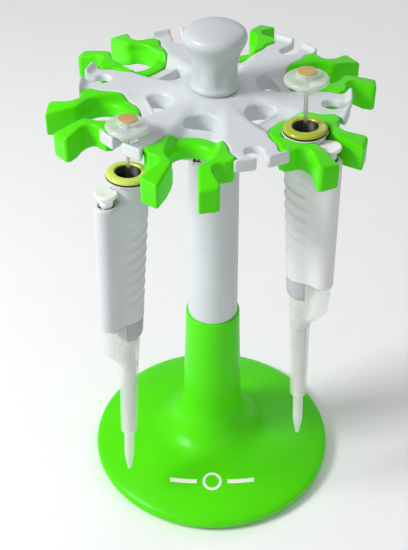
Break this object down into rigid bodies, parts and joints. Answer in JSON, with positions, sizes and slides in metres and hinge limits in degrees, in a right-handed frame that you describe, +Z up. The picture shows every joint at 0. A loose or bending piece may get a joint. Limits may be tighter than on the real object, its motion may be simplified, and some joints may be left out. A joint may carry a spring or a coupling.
{
  "type": "pipette carousel stand with pipettes",
  "caption": "Rotating bench carousel with a weighted round foot, column, spoked wheel and green snap-in holders, carrying adjustable hand pipettes.",
  "frame": {"origin": "on the table under the column's axis", "axes": "+Z up the column; -Y through the front holder; spokes at 0, 60, 120 degrees and so on"},
  "size_m": [0.1844, 0.1968, 0.343],
  "materials": {
    "green_plastic": "satin moulded",
    "grey_plastic": "fine satin",
    "dark_plastic": "moulded",
    "cast_iron": "painted black",
    "black_rubber": "matte",
    "steel": "ground",
    "spring_steel": "drawn wire",
    "white_acetal": "machined",
    "brass": "turned",
    "clear_white_plastic": "milky",
    "tan_plastic": "satin",
    "pale_grey_plastic": "satin",
    "mid_grey_plastic": "satin",
    "white_plastic": "gloss",
    "olive_plastic": "gloss",
    "lime_plastic": "gloss"
  },
  "bodies": {
    "stand": {"base_shell": "green_plastic", "base_cover": "dark_plastic", "ballast": "cast_iron", "rubber_feet": "black_rubber", "cover_screws": "steel", "column": "grey_plastic", "tie_rod": "steel", "tie_nut": "steel", "spindle": "steel", "thrust_washer": "white_acetal", "retaining_washer": "steel", "retaining_screw": "steel"},
    "carousel": {"wheel": "grey_plastic", "knob": "grey_plastic", "bushing": "brass", "holder_30": "green_plastic", "holder_90": "green_plastic", "holder_150": "green_plastic", "holder_210": "green_plastic", "holder_270": "green_plastic", "holder_330": "green_plastic", "holder_screws": "steel"},
    "right_pipette": {"right_housing": "pale_grey_plastic", "right_lower_body": "mid_grey_plastic", "right_barrel": "clear_white_plastic", "right_barrel_nut": "dark_plastic", "right_piston_seal": "black_rubber", "right_ring_gasket": "black_rubber", "right_return_spring": "spring_steel", "right_blowout_spring": "spring_steel", "right_ejector_spring": "spring_steel"},
    "right_plunger": {"right_push_button": "clear_white_plastic", "right_button_cap": "tan_plastic", "right_plunger_rod": "steel", "right_piston": "steel"},
    "right_dial": {"right_volume_ring": "olive_plastic", "right_volume_screw": "brass"},
    "right_ejector": {"right_ejector_button": "white_plastic", "right_ejector_rod": "steel", "right_ejector_sleeve": "clear_white_plastic"},
    "left_pipette": {"left_housing": "pale_grey_plastic", "left_lower_body": "mid_grey_plastic", "left_barrel": "clear_white_plastic", "left_barrel_nut": "dark_plastic", "left_piston_seal": "black_rubber", "left_ring_gasket": "black_rubber", "left_return_spring": "spring_steel", "left_blowout_spring": "spring_steel", "left_ejector_spring": "spring_steel"},
    "left_plunger": {"left_push_button": "clear_white_plastic", "left_button_cap": "tan_plastic", "left_plunger_rod": "steel", "left_piston": "steel"},
    "left_dial": {"left_volume_ring": "lime_plastic", "left_volume_screw": "brass"},
    "left_ejector": {"left_ejector_button": "white_plastic", "left_ejector_rod": "steel", "left_ejector_sleeve": "clear_white_plastic"}
  },
  "joints": [
    {"name": "carousel_spin", "type": "hinge", "parent": "stand", "child": "carousel", "pos_m": [0, 0, 0.29], "axis": [0, 0, 1], "continuous": true},
    {"name": "right_pipette_lift", "type": "slide", "parent": "carousel", "child": "right_pipette", "axis": [-0.0423, 0.0244, 0.9988], "range_m": [0, 0.25]},
    {"name": "right_plunger_press", "type": "slide", "parent": "right_pipette", "child": "right_plunger", "axis": [0.0423, -0.0244, -0.9988], "range_m": [0, 0.013], "stiffness_N_per_m": 260, "springref_m": -0.003, "deforming": ["right_return_spring"]},
    {"name": "left_pipette_swing", "type": "hinge", "parent": "carousel", "child": "left_plunger", "pos_m": [-0.03336, -0.05638, 0.30108], "axis": [-0.866, 0.5, 0], "range_deg": [0, 35]},
    {"name": "left_plunger_press", "type": "slide", "parent": "left_plunger", "child": "left_pipette", "axis": [0.0288, 0.0499, 0.9983], "range_m": [0, 0.006], "stiffness_N_per_m": 260, "springref_m": -0.003, "deforming": ["left_return_spring"]},
    {"name": "right_volume_dial", "type": "hinge", "parent": "right_pipette", "child": "right_dial", "pos_m": [0.05736, -0.03312, 0.3045], "axis": [-0.0423, 0.0244, 0.9988], "range_deg": [0, 3600]},
    {"name": "right_ejector_press", "type": "slide", "parent": "right_pipette", "child": "right_ejector", "axis": [0.0423, -0.0244, -0.9988], "range_m": [0, 0.0045], "stiffness_N_per_m": 400, "springref_m": -0.003, "deforming": ["right_ejector_spring"]},
    {"name": "left_volume_dial", "type": "hinge", "parent": "left_pipette", "child": "left_dial", "pos_m": [-0.03675, -0.06225, 0.28084], "axis": [0.0288, 0.0499, 0.9983], "range_deg": [0, 3600]},
    {"name": "left_ejector_press", "type": "slide", "parent": "left_pipette", "child": "left_ejector", "axis": [-0.0288, -0.0499, -0.9983], "range_m": [0, 0.0045], "stiffness_N_per_m": 400, "springref_m": -0.003, "deforming": ["left_ejector_spring"]}
  ]
}
